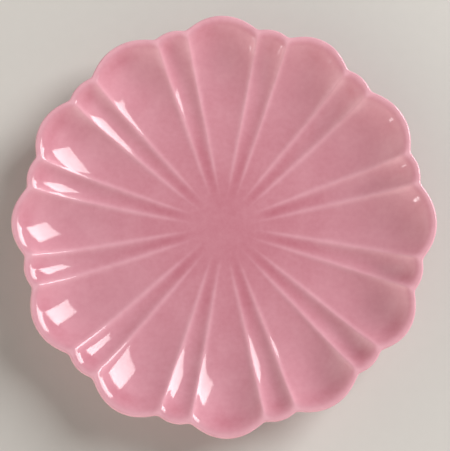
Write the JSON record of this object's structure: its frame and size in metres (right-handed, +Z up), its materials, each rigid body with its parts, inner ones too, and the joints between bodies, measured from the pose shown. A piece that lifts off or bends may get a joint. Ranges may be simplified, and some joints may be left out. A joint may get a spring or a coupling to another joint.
{
  "type": "salad plate",
  "caption": "Shallow ceramic salad plate moulded as an open flower, with scalloped petals, raised ridges and a rounded lip, glazed all over except the tread of its foot ring.",
  "frame": {"origin": "on the plate's axis, at the height of the foot ring's tread", "axes": "+Z up out of the dish, +X through the tip of a broad petal, +Y through the tip of the broad petal a quarter turn on"},
  "size_m": [0.2062, 0.2062, 0.0261],
  "materials": {
    "biscuit_clay": "bare fired clay, matt and slightly gritty",
    "pink_glaze": "glossy pink glaze, paler where it runs thin on ridges and lip",
    "pink_well_glaze": "glossy pink glaze"
  },
  "bodies": {
    "root": {"earthenware_body": "biscuit_clay", "glaze_coat": "pink_glaze", "foot_well_glaze": "pink_well_glaze"}
  },
  "joints": []
}
